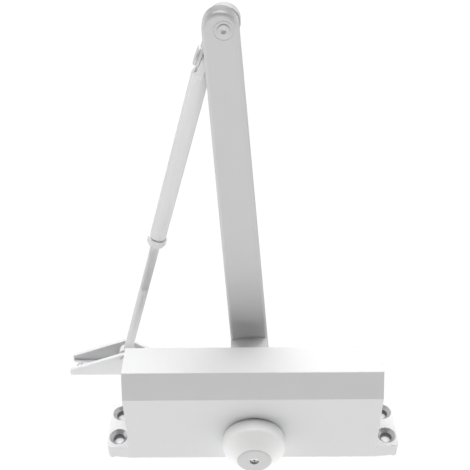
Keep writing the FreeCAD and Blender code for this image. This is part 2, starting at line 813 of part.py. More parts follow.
def arm_hub():
    """Steel block welded to the front of the web, with the square socket for the pinion."""
    body = doc.addObject("PartDesign::Body", "arm_hub")
    plan = sketch(body, "hub_plan", "XY_Plane")
    side = "(arm_root_radius - 0.1)"
    shoulder = f"sqrt(hub_top_radius ^ 2 - ({side} - 0.6) ^ 2)"
    outline(
        plan,
        [
            (f"-{side}", "0", side),
            ("0", f"-{side}", side),
            (side, "0"),
            (f"{side} - 0.6", shoulder, "hub_top_radius"),
            (f"-({side} - 0.6)", shoulder),
        ],
    )
    pad(body, "hub_block", plan, "arm_front - hub_front - 0.05")
    front = number("arm_front - hub_front - 0.05") - 0.01
    round_edges(body, "hub_edges", "0.8", lambda edge: spot(edge).z > front)
    socket = sketch(body, "hub_socket", "XY_Plane")
    square(socket, "square_flats + 0.12", "0")
    pocket(body, "hub_square", socket, "20", reverse=True)
    place(body, ("spindle_x", "arm_front - 0.05", "spindle_z"), arm_turn())
    return finish(body, "arm_hub")


def arm_fixing():
    """Screw and washer that clamp the arm's web against the end of the pinion."""
    inside = "arm_front + arm_sheet"
    washer_at = ("spindle_x", f"{inside} + 0.05", "spindle_z")
    disc = cylinder("washer_disc", "6.2", "1.2", washer_at, TO_REAR)
    hole = cylinder("washer_hole", "3.2", "2", ("spindle_x", f"{inside} - 0.4", "spindle_z"), TO_REAR)
    finish(cut("arm_washer_cut", disc, hole), "arm_washer")
    head = hexagon("arm_screw_head", "10", "4", ("spindle_x", f"{inside} + 1.3", "spindle_z"), TO_REAR)
    shank = cylinder("arm_screw_shank", "2.95", "16", ("spindle_x", f"{inside} - 14", "spindle_z"), TO_REAR)
    finish(joined("arm_screw_solid", head, shank), "arm_screw")


# Elbow

RIVET_X = "(spindle_x - arm_length * sin(rivet_lean))"
RIVET_Z = "(spindle_z + arm_length * cos(rivet_lean))"
FORK_X = f"({RIVET_X} - knuckle_reach * sin(knuckle_swing))"
FORK_Z = f"({RIVET_Z} - knuckle_reach * cos(knuckle_swing))"
FORK = (FORK_X, "fork_y", FORK_Z)


def elbow_rivet():
    """Rivet through the arm's web and the knuckle, dimpled in front and headed behind."""
    start, back = "arm_front - 0.5", "arm_front + arm_depth + 6.5"
    shank = cylinder("rivet_shank", "rivet_radius", "arm_depth + 9", (RIVET_X, start, RIVET_Z), TO_REAR)
    head = cylinder("rivet_head", "4.8", "1.8", (RIVET_X, back, RIVET_Z), TO_REAR)
    rounded = doc.addObject("Part::Fillet", "rivet_head_round")
    rounded.Base = head
    doc.recompute()
    top = max(range(len(head.Shape.Edges)), key=lambda n: spot(head.Shape.Edges[n]).y) + 1
    rounded.Edges = [(top, 0.9, 0.9)]
    dimple = cone("rivet_dimple", "1.7", "0.4", "0.9", (RIVET_X, start, RIVET_Z), TO_REAR)
    finish(cut("elbow_rivet_cut", joined("rivet_solid", shank, rounded), dimple), "elbow_rivet")


def elbow_knuckle():
    """Forked knuckle; its local z runs up from the cross pin and its local x along that pin."""
    turn = Rotation(Vector(0, 1, 0), number("fork_lean"))
    swing = "(knuckle_swing - fork_lean)"
    side, rise = f"(knuckle_reach * sin{swing})", f"(knuckle_reach * cos{swing})"

    def level(y):
        return (side, f"{y} - fork_y", rise)

    hub = cylinder("knuckle_hub", "knuckle_radius", "6", level("arm_front + arm_depth + 0.2"), TO_REAR)
    boss_length = "arm_depth - arm_sheet + 0.5"
    boss = cylinder("knuckle_boss", "4.8", boss_length, level("arm_front + arm_sheet + 0.2"), TO_REAR)
    half = "fork_width / 2"
    ends = cylinder("fork_end", "fork_radius", "fork_width", (f"-{half}", "0", "0"), TO_X)
    bar = box("fork_bar", "fork_width", "2 * fork_radius", f"{rise} - 7", (f"-{half}", "-fork_radius", "0"))
    whole = joined("knuckle_solid", hub, boss, ends, bar)
    slot = box("fork_slot", "fork_gap", "14", "17.5", ("-fork_gap / 2", "-7", "-9"))
    pin_hole = cylinder("fork_pin_hole", "cross_radius + 0.02", "20", ("-10", "0", "0"), TO_X)
    rivet_hole = cylinder("knuckle_bore", "rivet_radius + running_gap", "20", level("arm_front"), TO_REAR)
    item = cut("elbow_knuckle_cut", whole, slot, pin_hole, rivet_hole)
    place(item, FORK, turn)
    return finish(item, "elbow_knuckle")


def elbow_pin():
    """Cross pin of the fork, with a flat round head on its left."""
    turn = Rotation(Vector(0, 1, 0), number("fork_lean"))
    half = "fork_width / 2"
    shank = cylinder("cross_shank", "cross_radius", "fork_width + 1.2", (f"-{half} - 0.1", "0", "0"), TO_X)
    head = cylinder("cross_head", "5.2", "1.1", (f"-{half} - 1.2", "0", "0"), TO_X)
    tail = cylinder("cross_tail", "2.9", "1", (f"{half} + 0.1", "0", "0"), TO_X)
    whole = joined("cross_pin_solid", shank, head, tail)
    place(whole, FORK, turn)
    return finish(whole, "elbow_pin")


# Forearm: everything here has its local z running up the forearm, from the shoe to the elbow


def forearm_turn():
    lean = Rotation(Vector(0, 1, 0), number("forearm_lean"))
    return lean.multiply(Rotation(Vector(1, 0, 0), number("forearm_tilt")))


def forearm_tube():
    """Tube flattened to a tongue at the elbow and bent there to lie square in the fork."""
    body = doc.addObject("PartDesign::Body", "forearm_tube")
    bend = number("fork_lean - forearm_lean")
    about_x = Rotation(Vector(1, 0, 0), bend)
    about_normal = Rotation(Vector(0, 0, 1), -bend)
    wide = "tube_radius + 0.2"
    end = sketch(body, "tube_circle", "XY_Plane", "-tube_end")
    circle(end, "0", "0", "tube_radius")
    pad(body, "tube_blank", end, "tube_end - 4")
    tongue = sketch(body, "tongue_plan", "YZ_Plane", twist=about_x)
    outline(
        tongue,
        [
            (f"-({wide})", "0"),
            (f"-({wide})", "-8"),
            ("-(tube_radius - 0.6)", "-14"),
            ("tube_radius - 0.6", "-14"),
            (wide, "-8"),
            (wide, "0", wide),
            ("0", wide, wide),
        ],
    )
    pad(body, "tongue_block", tongue, "tongue_thick", symmetric=True)
    flats = sketch(body, "flattening", "XZ_Plane", twist=about_normal)
    for side in ("", "-"):
        half = f"{side}tongue_thick / 2"
        edge = f"{side}(tube_radius + 1)"
        corners = [(half, "-6.6"), (edge, "-13"), (edge, "0"), (half, "0")]
        outline(flats, corners)
    pocket(body, "tongue_flats", flats, "4 * tube_radius", symmetric=True)
    bore = sketch(body, "tube_bore_circle", "XY_Plane", "-tube_end")
    circle(bore, "0", "0", "tube_bore")
    pocket(body, "tube_bore", bore, "tube_end - 22", reverse=True)
    eye = sketch(body, "tongue_eye", "YZ_Plane", twist=about_x)
    circle(eye, "0", "0", "cross_radius + running_gap")
    pocket(body, "tongue_hole", eye, "20", symmetric=True)
    lip = number("-tube_end") + 0.01
    tube = number("tube_radius") - 0.01
    round_edges(
        body, "tube_lip", "0.5",
        lambda edge: spot(edge).z < lip and is_circle(edge) and edge.Curve.Radius > tube,
    )
    place(body, FORK, forearm_turn())
    return finish(body, "forearm_tube")


def lock_nut():
    """Thin hexagon nut, chamfered on both faces, jammed against the end of the tube."""
    low = "-(tube_end + 0.15 + nut_thick)"
    block = hexagon("nut_block", "nut_flats", "nut_thick", ("0", "0", low))
    shape = doc.addObject("Part::Common", "nut_chamfered")
    round_one = cylinder("nut_round", "nut_flats / 2 + 0.45", "nut_thick", ("0", "0", low))
    shape.Base = block
    shape.Tool = round_one
    hole = cylinder("nut_hole", "rod_radius + 0.06", "nut_thick + 2", ("0", "0", f"{low} - 1"))
    item = cut("lock_nut_cut", shape, hole)
    place(item, FORK, forearm_turn())
    return finish(item, "lock_nut")


def adjusting_rod():
    """Threaded rod in the tube, forged to a round eye that lies square to the shoe's pin."""
    lean = Rotation(Vector(1, 0, 0), -number("forearm_tilt"))
    square_up = lean.multiply(TO_REAR)
    drop = "-forearm_length"
    shank = cylinder("rod_shank", "rod_radius", "forearm_length - rod_start - 4", ("0", "0", f"{drop} + 4"))
    tilt = "forearm_tilt"
    half = "eye_thick / 2"
    eye_at = ("0", f"-{half} * cos({tilt})", f"{drop} + {half} * sin({tilt})")
    eye = cylinder("rod_eye", "eye_radius", "eye_thick", eye_at, square_up)
    hole_at = ("0", f"-8 * cos({tilt})", f"{drop} + 8 * sin({tilt})")
    hole = cylinder("rod_hole", "shoe_pin_radius + running_gap", "16", hole_at, square_up)
    neck = cone("rod_neck", "rod_radius + 0.4", "rod_radius", "9", ("0", "0", f"{drop} + 4.5"))
    item = cut("adjusting_rod_cut", joined("rod_solid", shank, eye, neck), hole)
    place(item, FORK, forearm_turn())
    return finish(item, "adjusting_rod")


# Shoe

PIN_X = f"({FORK_X} - forearm_length * cos(forearm_tilt) * sin(forearm_lean))"
PIN_Y = "(fork_y + forearm_length * sin(forearm_tilt))"
PIN_Z = f"({FORK_Z} - forearm_length * cos(forearm_tilt) * cos(forearm_lean))"


def shoe():
    """Folded bracket: a base with two screw holes between two cheeks; local y up, z to the front."""
    body = doc.addObject("PartDesign::Body", "shoe")
    cheek = sketch(body, "cheek_plan", "XY_Plane")
    base = "-shoe_pin_height"
    toe = "shoe_nose / cos(shoe_rise) - shoe_left * tan(shoe_rise)"
    heel = "shoe_nose / cos(shoe_fall) - shoe_right * tan(shoe_fall)"
    outline(
        cheek,
        [
            ("-shoe_left", base),
            ("shoe_right", base),
            ("shoe_right", heel),
            ("shoe_nose * sin(shoe_fall)", "shoe_nose * cos(shoe_fall)", "shoe_nose"),
            ("-shoe_nose * sin(shoe_rise)", "shoe_nose * cos(shoe_rise)"),
            ("-shoe_left", toe),
        ],
    )
    pad(body, "cheek_block", cheek, "shoe_width", symmetric=True)
    lowest = number(base) + 0.01
    broad = number("shoe_width / 2") - 0.01
    round_edges(
        body, "folds", "1.2",
        lambda edge: runs_along(edge, Vector(1, 0, 0)) and spot(edge).y < lowest and abs(spot(edge).z) > broad,
    )
    inside = sketch(body, "inside_plan", "XY_Plane")
    outline(
        inside,
        [
            ("-shoe_left - 1", f"{base} + shoe_sheet"),
            ("shoe_right + 1", f"{base} + shoe_sheet"),
            ("shoe_right + 1", "shoe_nose + 2"),
            ("-shoe_left - 1", "shoe_nose + 2"),
        ],
    )
    pocket(body, "inside", inside, "shoe_width - 2 * shoe_sheet", symmetric=True)
    eye = sketch(body, "cheek_holes", "XY_Plane")
    circle(eye, "0", "0", "shoe_pin_radius + 0.02")
    pocket(body, "cheek_drilling", eye, "shoe_width + 2", symmetric=True)
    holes = sketch(body, "screw_circles", "XZ_Plane", f"{base.lstrip('-')} + 1")
    for along in ("shoe_hole_near", "shoe_hole_near + shoe_hole_pitch"):
        circle(holes, f"-({along})", "0", "shoe_hole / 2")
    pocket(body, "screw_holes", holes, "shoe_sheet + 2")
    place(body, (PIN_X, PIN_Y, PIN_Z), TO_FRONT)
    return finish(body, "shoe")


def shoe_pin():
    """Riveted pin through both cheeks and the eye of the rod."""
    half = "shoe_width / 2"
    shank_at = (PIN_X, f"{PIN_Y} - {half} - 0.5", PIN_Z)
    shank = cylinder("pin_shank", "shoe_pin_radius", "shoe_width + 1", shank_at, TO_REAR)
    heads = []
    for side, start in (("front", f"{PIN_Y} - {half} - 1.5"), ("rear", f"{PIN_Y} + {half} + 0.1")):
        heads.append(cylinder(f"pin_head_{side}", "4.1", "1.4", (PIN_X, start, PIN_Z), TO_REAR))
    return finish(joined("shoe_pin_solid", shank, *heads), "shoe_pin")


def build():
    body_casting()
    end_plug("left", "-", TO_LEFT)
    end_plug("right", "", TO_X)
    spindle_bearing("front", "-", TO_FRONT)
    spindle_bearing("rear", "", TO_REAR)
    pinion_shaft()
    pinion_cap()
    cap_screw()
    piston()
    piston_fittings()
    spring()
    regulating_valve("closing", "-")
    regulating_valve("latching", "")
    main_arm()
    arm_hub()
    arm_fixing()
    elbow_rivet()
    elbow_knuckle()
    elbow_pin()
    forearm_tube()
    lock_nut()
    adjusting_rod()
    shoe()
    shoe_pin()


def check():
    """Stop if any object failed or any sub-part has no sound solid."""
    for item in doc.Objects:
        if {"Invalid", "Error"} & set(item.State):
            raise RuntimeError(f"{item.Name} failed: {item.State}")
    for item in finished:
        if item.Shape.isNull() or not item.Shape.isValid() or not item.Shape.Solids:
            raise RuntimeError(f"{item.Label} has no sound solid")
        print(f"{item.Label:22s} {len(item.Shape.Solids)} solid, {item.Shape.Volume:10.1f} mm3")


build()
doc.recompute()
check()
os.makedirs("parts", exist_ok=True)
for part in finished:
    part.Shape.exportStep(f"parts/{part.Label}.step")
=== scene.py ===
"""A door closer with a rack-and-pinion body, a folding arm and a fixing shoe, in metres.

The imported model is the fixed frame. It lies on its mounting face, with z away from the door, x along
the body and y along the pinion. Each section below dresses one piece, or one group of like pieces.
"""

import json
import math

import bpy
from mathutils import Matrix, Vector


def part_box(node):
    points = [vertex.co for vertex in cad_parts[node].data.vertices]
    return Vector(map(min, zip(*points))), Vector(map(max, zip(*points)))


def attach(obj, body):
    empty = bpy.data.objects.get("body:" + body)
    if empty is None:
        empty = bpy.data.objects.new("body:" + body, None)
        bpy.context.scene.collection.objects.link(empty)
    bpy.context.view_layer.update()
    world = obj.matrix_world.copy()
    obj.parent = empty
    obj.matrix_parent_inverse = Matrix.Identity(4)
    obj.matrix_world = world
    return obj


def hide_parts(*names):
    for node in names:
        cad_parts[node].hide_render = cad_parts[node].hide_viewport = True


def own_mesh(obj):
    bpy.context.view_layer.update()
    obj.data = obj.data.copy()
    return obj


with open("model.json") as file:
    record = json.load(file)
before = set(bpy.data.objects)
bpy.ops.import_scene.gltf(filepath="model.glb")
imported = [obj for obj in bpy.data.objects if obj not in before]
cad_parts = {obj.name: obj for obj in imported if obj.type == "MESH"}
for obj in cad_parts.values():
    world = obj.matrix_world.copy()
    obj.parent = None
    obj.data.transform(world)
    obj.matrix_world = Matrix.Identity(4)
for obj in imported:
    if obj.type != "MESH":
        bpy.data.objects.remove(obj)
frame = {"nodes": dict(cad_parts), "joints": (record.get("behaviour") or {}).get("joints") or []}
nodes = frame["nodes"]
joints = {joint["name"]: joint for joint in frame["joints"]}
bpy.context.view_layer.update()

# --------------------------------------------------------------------------------------------------
# Body: one aluminium die casting with bevelled upper edges and a lug at each end, powder-coated
# white. The four fixing holes are countersunk after coating, so their cones show bare metal; the
# bores under them keep the coat's colour below and get painted shade above, under the cone's edge.


def shader_group(name, inputs, outputs):
    """An empty node group with its sockets, and its two end nodes."""
    tree = bpy.data.node_groups.new(name, "ShaderNodeTree")
    for label, kind, value in inputs:
        socket = tree.interface.new_socket(label, in_out="INPUT", socket_type=kind)
        socket.default_value = value
    for label, kind in outputs:
        tree.interface.new_socket(label, in_out="OUTPUT", socket_type=kind)
    return tree, tree.nodes.new("NodeGroupInput"), tree.nodes.new("NodeGroupOutput")


def node(tree, kind, values=(), **settings):
    """A shader node with its settings, and its inputs' values by name or number."""
    made = tree.nodes.new(f"ShaderNode{kind}")
    for name, value in settings.items():
        setattr(made, name, value)
    for socket, value in dict(values).items():
        made.inputs[socket].default_value = value
    return made


def span(tree, low, high, start=0.0, end=1.0):
    """A clamped ramp that goes from start to end while its value goes from low to high."""
    limits = {"From Min": low, "From Max": high, "To Min": start, "To Max": end}
    return node(tree, "MapRange", limits)


def wire(tree, *pairs):
    """Link each output to its input."""
    for source, target in pairs:
        tree.links.new(source, target)


NUMBER, COLOUR, DIRECTION = "NodeSocketFloat", "NodeSocketColor", "NodeSocketVector"

# Coating with a fine orange peel: height noise for the normal, broad clouds for shade and gloss
powder_coat, coat_in, coat_out = shader_group(
    "powder_coat",
    [
        ("Paint", COLOUR, (0.8, 0.8, 0.8, 1)),
        ("Peels per Metre", NUMBER, 900.0),
        ("Peel Depth", NUMBER, 0.00002),
        ("Gloss Base", NUMBER, 0.4),
    ],
    [("Color", COLOUR), ("Roughness", NUMBER), ("Normal", DIRECTION)],
)
where = node(powder_coat, "TexCoord")
peel = node(powder_coat, "TexNoise", {"Detail": 2.0, "Roughness": 0.45})
clouds = node(powder_coat, "TexNoise", {"Scale": 38.0, "Detail": 4.0, "Roughness": 0.55})
specks = node(powder_coat, "TexVoronoi", {"Scale": 420.0})
peel_bump = node(powder_coat, "Bump", {"Strength": 1.0})
shade_span = span(powder_coat, 0.3, 0.7, 0.972, 1.0)
speck_span = span(powder_coat, 0.02, 0.1, 0.975, 1.0)
shade = node(powder_coat, "Math", operation="MULTIPLY")
shaded = node(powder_coat, "VectorMath", operation="SCALE")
gloss_span = span(powder_coat, 0.3, 0.7, -0.05, 0.06)
gloss = node(powder_coat, "Math", operation="ADD")
wire(
    powder_coat,
    (where.outputs["Object"], peel.inputs["Vector"]),
    (where.outputs["Object"], clouds.inputs["Vector"]),
    (where.outputs["Object"], specks.inputs["Vector"]),
    (coat_in.outputs["Peels per Metre"], peel.inputs["Scale"]),
    (peel.outputs["Fac"], peel_bump.inputs["Height"]),
    (coat_in.outputs["Peel Depth"], peel_bump.inputs["Distance"]),
    (clouds.outputs["Fac"], shade_span.inputs["Value"]),
    (specks.outputs["Distance"], speck_span.inputs["Value"]),
    (shade_span.outputs["Result"], shade.inputs[0]),
    (speck_span.outputs["Result"], shade.inputs[1]),
    (coat_in.outputs["Paint"], shaded.inputs[0]),
    (shade.outputs[0], shaded.inputs["Scale"]),
    (clouds.outputs["Fac"], gloss_span.inputs["Value"]),
    (coat_in.outputs["Gloss Base"], gloss.inputs[0]),
    (gloss_span.outputs["Result"], gloss.inputs[1]),
    (shaded.outputs[0], coat_out.inputs["Color"]),
    (gloss.outputs[0], coat_out.inputs["Roughness"]),
    (peel_bump.outputs["Normal"], coat_out.inputs["Normal"]),
)

# Machined or plated metal: fine tool lines round or along the piece, and uneven gloss
worked_metal, metal_in, metal_out = shader_group(
    "worked_metal",
    [
        ("Metal", COLOUR, (0.6, 0.6, 0.6, 1)),
        ("Line Spacing", DIRECTION, (4000.0, 300.0, 300.0)),
        ("Line Depth", NUMBER, 0.000008),
        ("Gloss Base", NUMBER, 0.3),
    ],
    [("Color", COLOUR), ("Roughness", NUMBER), ("Normal", DIRECTION)],
)
metal_where = node(worked_metal, "TexCoord")
stretched = node(worked_metal, "VectorMath", operation="MULTIPLY")
lines = node(worked_metal, "TexNoise", {"Scale": 1.0, "Detail": 3.0})
film = node(worked_metal, "TexNoise", {"Scale": 160.0, "Detail": 4.0})
line_bump = node(worked_metal, "Bump", {"Strength": 1.0})
metal_span = span(worked_metal, 0.3, 0.7, 0.86, 1.06)
tinted = node(worked_metal, "VectorMath", operation="SCALE")
metal_gloss_span = span(worked_metal, 0.3, 0.7, -0.08, 0.1)
metal_gloss = node(worked_metal, "Math", operation="ADD")
wire(
    worked_metal,
    (metal_where.outputs["Object"], stretched.inputs[0]),
    (metal_in.outputs["Line Spacing"], stretched.inputs[1]),
    (stretched.outputs[0], lines.inputs["Vector"]),
    (metal_where.outputs["Object"], film.inputs["Vector"]),
    (lines.outputs["Fac"], line_bump.inputs["Height"]),
    (metal_in.outputs["Line Depth"], line_bump.inputs["Distance"]),
    (film.outputs["Fac"], metal_span.inputs["Value"]),
    (metal_in.outputs["Metal"], tinted.inputs[0]),
    (metal_span.outputs["Result"], tinted.inputs["Scale"]),
    (lines.outputs["Fac"], metal_gloss_span.inputs["Value"]),
    (metal_in.outputs["Gloss Base"], metal_gloss.inputs[0]),
    (metal_gloss_span.outputs["Result"], metal_gloss.inputs[1]),
    (tinted.outputs[0], metal_out.inputs["Color"]),
    (metal_gloss.outputs[0], metal_out.inputs["Roughness"]),
    (line_bump.outputs["Normal"], metal_out.inputs["Normal"]),
)


def material(name, **sockets):
    """A new material and its Principled shader; an underscore in a socket's name is a space."""
    made = bpy.data.materials.new(name)
    made.use_nodes = True
    shader = made.node_tree.nodes["Principled BSDF"]
    for socket, value in sockets.items():
        shader.inputs[socket.replace("_", " ")].default_value = value
    return made, shader


def finished_with(name, effect, values, **sockets):
    """A material whose colour, gloss and normal come from one of the effect groups."""
    made, shader = material(name, **sockets)
    tree = made.node_tree
    group = node(tree, "Group", node_tree=effect)
    for socket, value in values.items():
        group.inputs[socket].default_value = value
    wire(
        tree,
        (group.outputs["Color"], shader.inputs["Base Color"]),
        (group.outputs["Roughness"], shader.inputs["Roughness"]),
        (group.outputs["Normal"], shader.inputs["Normal"]),
    )
    return made


def opened(finish):
    """A finish's node tree, its shader, its effect group and a new node that says where it is."""
    tree = finish.node_tree
    effect = next(n for n in tree.nodes if n.type == "GROUP")
    return tree, tree.nodes["Principled BSDF"], effect, node(tree, "TexCoord")


def dress(finish, *names):
    """Put one finish on CAD nodes."""
    for name in names:
        for slot in nodes[name].material_slots:
            slot.material = finish


CASTING_WHITE = (0.74, 0.74, 0.745, 1)
SINK_LIGHT, SINK_DARK = (0.85, 0.85, 0.86, 1), (0.4, 0.4, 0.41, 1)
# Painted shade: the bores are dark grey above the given height, fading in over a short span, in place of
# the countersink's shadow
BORE_PAINTED_SHADE = (0.1, 0.1, 0.105, 1)
SINK_GLOSS, SINK_METAL = 0.36, 0.5
BORE_SHADE_ABOVE, BORE_SHADE_FADE = 0.0046, 0.0006
HOLE_X, HOLE_Y = 0.0862, 0.0095
SINK_RADIUS, DRILL_RADIUS, EDGE_BLUR = 0.00585, 0.0036, 0.00015

casting_coat = finished_with(
    "casting_coat",
    powder_coat,
    {"Paint": CASTING_WHITE, "Peels per Metre": 620.0, "Peel Depth": 0.00009, "Gloss Base": 0.5},
)
# Folding x and y lays the four holes over one another, so one distance serves them all
tree, shader, coat, place = opened(casting_coat)
folded = node(tree, "VectorMath", operation="ABSOLUTE")
flat = node(tree, "VectorMath", {1: (1, 1, 0)}, operation="MULTIPLY")
from_hole = node(tree, "VectorMath", {1: (HOLE_X, HOLE_Y, 0)}, operation="DISTANCE")
in_sink = span(tree, SINK_RADIUS, SINK_RADIUS + EDGE_BLUR, 1.0, 0.0)
in_drill = span(tree, DRILL_RADIUS, DRILL_RADIUS + EDGE_BLUR, 1.0, 0.0)
chatter = node(tree, "TexNoise", {"Scale": 1500.0, "Detail": 3.0})
bare = node(tree, "Mix", {6: SINK_LIGHT, 7: SINK_DARK}, data_type="RGBA")
height = node(tree, "SeparateXYZ")
# Painted shade in the upper bore: dark grey above this height, the coat's colour below it
in_bore_shade = span(tree, BORE_SHADE_ABOVE - BORE_SHADE_FADE, BORE_SHADE_ABOVE + BORE_SHADE_FADE)
bore_with_shade = node(tree, "Mix", {7: BORE_PAINTED_SHADE}, data_type="RGBA")
drilled = node(tree, "Mix", data_type="RGBA")
skin_colour = node(tree, "Mix", data_type="RGBA")
skin_gloss = node(tree, "Mix", {3: SINK_GLOSS}, data_type="FLOAT")
skin_metal = node(tree, "Math", {1: SINK_METAL}, operation="MULTIPLY")
wire(
    tree,
    (place.outputs["Object"], folded.inputs[0]),
    (folded.outputs[0], flat.inputs[0]),
    (flat.outputs[0], from_hole.inputs[0]),
    (from_hole.outputs["Value"], in_sink.inputs["Value"]),
    (from_hole.outputs["Value"], in_drill.inputs["Value"]),
    (place.outputs["Object"], chatter.inputs["Vector"]),
    (chatter.outputs["Fac"], bare.inputs[0]),
    (place.outputs["Object"], height.inputs[0]),
    (height.outputs["Z"], in_bore_shade.inputs["Value"]),
    (in_bore_shade.outputs["Result"], bore_with_shade.inputs[0]),
    (coat.outputs["Color"], bore_with_shade.inputs[6]),
    (in_drill.outputs["Result"], drilled.inputs[0]),
    (bare.outputs[2], drilled.inputs[6]),
    (bore_with_shade.outputs[2], drilled.inputs[7]),
    (in_sink.outputs["Result"], skin_colour.inputs[0]),
    (coat.outputs["Color"], skin_colour.inputs[6]),
    (drilled.outputs[2], skin_colour.inputs[7]),
    (skin_colour.outputs[2], shader.inputs["Base Color"]),
    (in_sink.outputs["Result"], skin_gloss.inputs[0]),
    (coat.outputs["Roughness"], skin_gloss.inputs[2]),
    (skin_gloss.outputs[0], shader.inputs["Roughness"]),
    (in_sink.outputs["Result"], skin_metal.inputs[0]),
    (skin_metal.outputs[0], shader.inputs["Metallic"]),
)
dress(casting_coat, "body_casting")

# --------------------------------------------------------------------------------------------------
# End plugs and bearings: turned steel, zinc-plated, screwed into the casting's bores. Rubber rings
# seal the plugs, the shaft and the valve screws.

plug_steel = finished_with(
    "plug_steel",
    worked_metal,
    {"Metal": (0.6, 0.61, 0.62, 1), "Line Spacing": (500.0, 2600.0, 2600.0), "Gloss Base": 0.34},
    Metallic=1.0,
)
dress(plug_steel, "end_plug_left", "end_plug_right")
bearing_steel = finished_with(
    "bearing_steel",
    worked_metal,
    {"Metal": (0.5, 0.5, 0.51, 1), "Line Spacing": (2600.0, 500.0, 2600.0), "Gloss Base": 0.38},
    Metallic=1.0,
)
dress(bearing_steel, "bearing_front", "bearing_rear", "spring_seat")

seal_rubber = finished_with(
    "seal_rubber",
    powder_coat,
    {"Paint": (0.02, 0.02, 0.021, 1), "Peels per Metre": 2500.0, "Peel Depth": 0.00001, "Gloss Base": 0.62},
)
dress(
    seal_rubber,
    "end_seal_left", "end_seal_right", "shaft_seal_front", "shaft_seal_rear",
    "piston_ring", "closing_valve_seal", "latching_valve_seal",
)

# --------------------------------------------------------------------------------------------------
# Working parts inside the casting: a ground steel pinion, a cast-iron piston with its rack, the
# one-way valve's brass seat and polished ball, and an oil-tempered spring.

pinion_steel = finished_with(
    "pinion_steel",
    worked_metal,
    {"Metal": (0.46, 0.46, 0.48, 1), "Line Spacing": (500.0, 5000.0, 500.0), "Gloss Base": 0.26},
    Metallic=1.0,
)
dress(pinion_steel, "pinion_shaft")
piston_iron = finished_with(
    "piston_iron",
    worked_metal,
    {"Metal": (0.22, 0.22, 0.23, 1), "Line Spacing": (3200.0, 700.0, 700.0), "Gloss Base": 0.44},
    Metallic=1.0,
)
dress(piston_iron, "piston")
spring_wire = finished_with(
    "spring_wire",
    worked_metal,
    {"Metal": (0.12, 0.12, 0.135, 1), "Line Spacing": (900.0, 900.0, 900.0), "Gloss Base": 0.4},
    Metallic=1.0,
)
ball_steel = finished_with(
    "ball_steel",
    worked_metal,
    {"Metal": (0.75, 0.75, 0.76, 1), "Line Depth": 0.000001, "Gloss Base": 0.14},
    Metallic=1.0,
)
dress(ball_steel, "check_ball")
turned_brass = finished_with(
    "turned_brass",
    worked_metal,
    {"Metal": (0.72, 0.53, 0.24, 1), "Line Spacing": (4200.0, 500.0, 500.0), "Gloss Base": 0.28},
    Metallic=1.0,
)
dress(turned_brass, "check_seat", "closing_valve", "latching_valve")


def clamped(value):
    """The value, held between 0 and 1."""
    return min(max(value, 0), 1)


def circle(radius, count, z=0.0):
    """Points evenly spaced round the local z axis."""
    turns = [k * math.tau / count for k in range(count)]
    return [(radius * math.cos(turn), radius * math.sin(turn), z) for turn in turns]


def skinned(name, rings, closed_ends=False):
    """A mesh skinned over rings that all have the same number of points."""
    mesh = bpy.data.meshes.new(name)
    count = len(rings[0])
    faces = []
    for row in range(len(rings) - 1):
        for step in range(count):
            after = (step + 1) % count
            low, high = row * count, (row + 1) * count
            faces.append((low + step, low + after, high + after, high + step))
    if closed_ends:
        faces.append(tuple(reversed(range(count))))
        last = (len(rings) - 1) * count
        faces.append(tuple(range(last, last + count)))
    mesh.from_pydata([point for ring in rings for point in ring], [], faces)
    mesh.polygons.foreach_set("use_smooth", [True] * len(faces))
    piece = bpy.data.objects.new(name, mesh)
    bpy.context.scene.collection.objects.link(piece)
    return piece


def frame_on(origin, z_axis, x_hint=(1, 0, 0)):
    """A matrix whose local z is z_axis and whose local x leans to x_hint."""
    z_axis = Vector(z_axis).normalized()
    x_axis = Vector(x_hint) - z_axis * Vector(x_hint).dot(z_axis)
    x_axis.normalize()
    y_axis = z_axis.cross(x_axis)
    turn = Matrix((x_axis, y_axis, z_axis)).transposed()
    return Matrix.Translation(Vector(origin)) @ turn.to_4x4()


def settle(piece, matrix, finish, body):
    """Bake a piece's place into its mesh, finish it and let it move with its body."""
    piece.data.transform(matrix)
    piece.data.materials.append(finish)
    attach(piece, body)


# The spring closes up between its seat and the piston; a wound coil stands for the CAD spring. Its
# last turns lie flat, as ground ends do.
WIRE_RADIUS, SPRING_TURNS, FLAT_TURNS = 0.0018, 4.5, 0.6
COIL_STEPS, WIRE_SIDES = 288, 20
low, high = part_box("main_spring")
coil_radius = (high.y - low.y) / 2 - WIRE_RADIUS
first, last = low.x + WIRE_RADIUS, high.x - WIRE_RADIUS
all_turns = SPRING_TURNS + 2 * FLAT_TURNS
section = circle(WIRE_RADIUS, WIRE_SIDES)
rings = []
for k in range(COIL_STEPS + 1):
    turns = all_turns * k / COIL_STEPS
    along = clamped((turns - FLAT_TURNS) / SPRING_TURNS)
    angle = turns * math.tau
    outward = Vector((0, math.cos(angle), math.sin(angle)))
    centre = Vector((first + (last - first) * along, (low.y + high.y) / 2, (low.z + high.z) / 2))
    rings.append([centre + outward * (coil_radius + out) + Vector((x, 0, 0)) for x, out, _ in section])
coil_spring = skinned("coil_spring", rings, closed_ends=True)
settle(coil_spring, Matrix.Identity(4), spring_wire, "housing")
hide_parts("main_spring")
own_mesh(coil_spring)

# --------------------------------------------------------------------------------------------------
# Pinion cap: a moulded white plastic cup with a matt skin, pressed on the square of the pinion and
# held by one cross-head screw sunk in its boss.

cap_plastic = finished_with(
    "cap_plastic",
    powder_coat,
    {"Paint": (0.93, 0.93, 0.925, 1), "Peels per Metre": 1500.0, "Peel Depth": 0.00001, "Gloss Base": 0.42},
    Subsurface_Weight=0.06,
    Subsurface_Scale=0.002,
)
